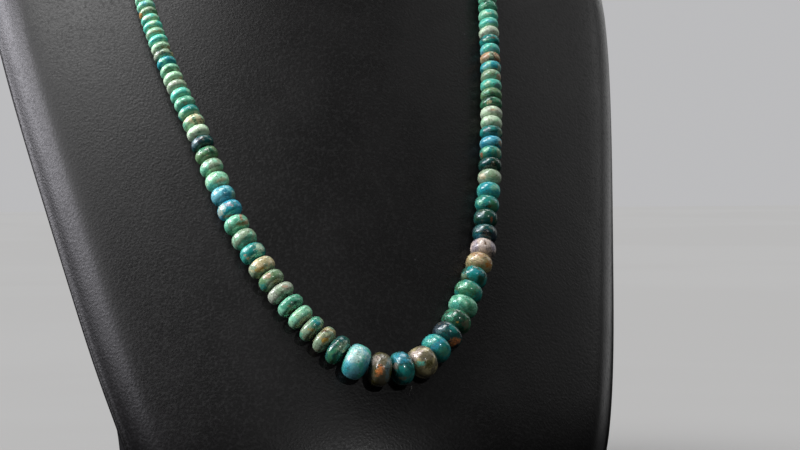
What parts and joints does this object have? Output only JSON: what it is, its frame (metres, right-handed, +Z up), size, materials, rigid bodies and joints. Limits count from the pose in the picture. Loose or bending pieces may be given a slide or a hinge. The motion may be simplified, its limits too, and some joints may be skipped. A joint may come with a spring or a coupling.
{
  "type": "beaded necklace on a neck bust",
  "caption": "Graduated string of polished turquoise rondelle beads, hung round a plain upholstered neck bust with a leaning chest.",
  "frame": {"origin": "on the floor, under the middle of the bust's base", "axes": "+Z up, -Y out of the bust's chest towards the viewer, +X to the viewer's right"},
  "size_m": [0.23, 0.177, 0.29],
  "materials": {
    "turquoise": "polished, mottled green and blue with brown matrix",
    "thread": "waxed beading thread",
    "clasp_metal": "plain satin silver",
    "leatherette": "fine pebbled leatherette, soft sheen"
  },
  "bodies": {
    "root": {"bead_01": "turquoise", "bead_02": "turquoise", "bead_03": "turquoise", "bead_04": "turquoise", "bead_05": "turquoise", "bead_06": "turquoise", "bead_07": "turquoise", "bead_08": "turquoise", "bead_09": "turquoise", "bead_10": "turquoise", "bead_11": "turquoise", "bead_12": "turquoise", "bead_13": "turquoise", "bead_14": "turquoise", "bead_15": "turquoise", "bead_16": "turquoise", "bead_17": "turquoise", "bead_18": "turquoise", "bead_19": "turquoise", "bead_20": "turquoise", "bead_21": "turquoise", "bead_22": "turquoise", "bead_23": "turquoise", "bead_24": "turquoise", "bead_25": "turquoise", "bead_26": "turquoise", "bead_27": "turquoise", "bead_28": "turquoise", "bead_29": "turquoise", "bead_30": "turquoise", "bead_31": "turquoise", "bead_32": "turquoise", "bead_33": "turquoise", "bead_34": "turquoise", "bead_35": "turquoise", "bead_36": "turquoise", "bead_37": "turquoise", "bead_38": "turquoise", "bead_39": "turquoise", "bead_40": "turquoise", "string_left": "turquoise", "string_right": "turquoise", "thread": "thread", "clasp": "clasp_metal", "neck_bust": "leatherette"}
  },
  "joints": []
}
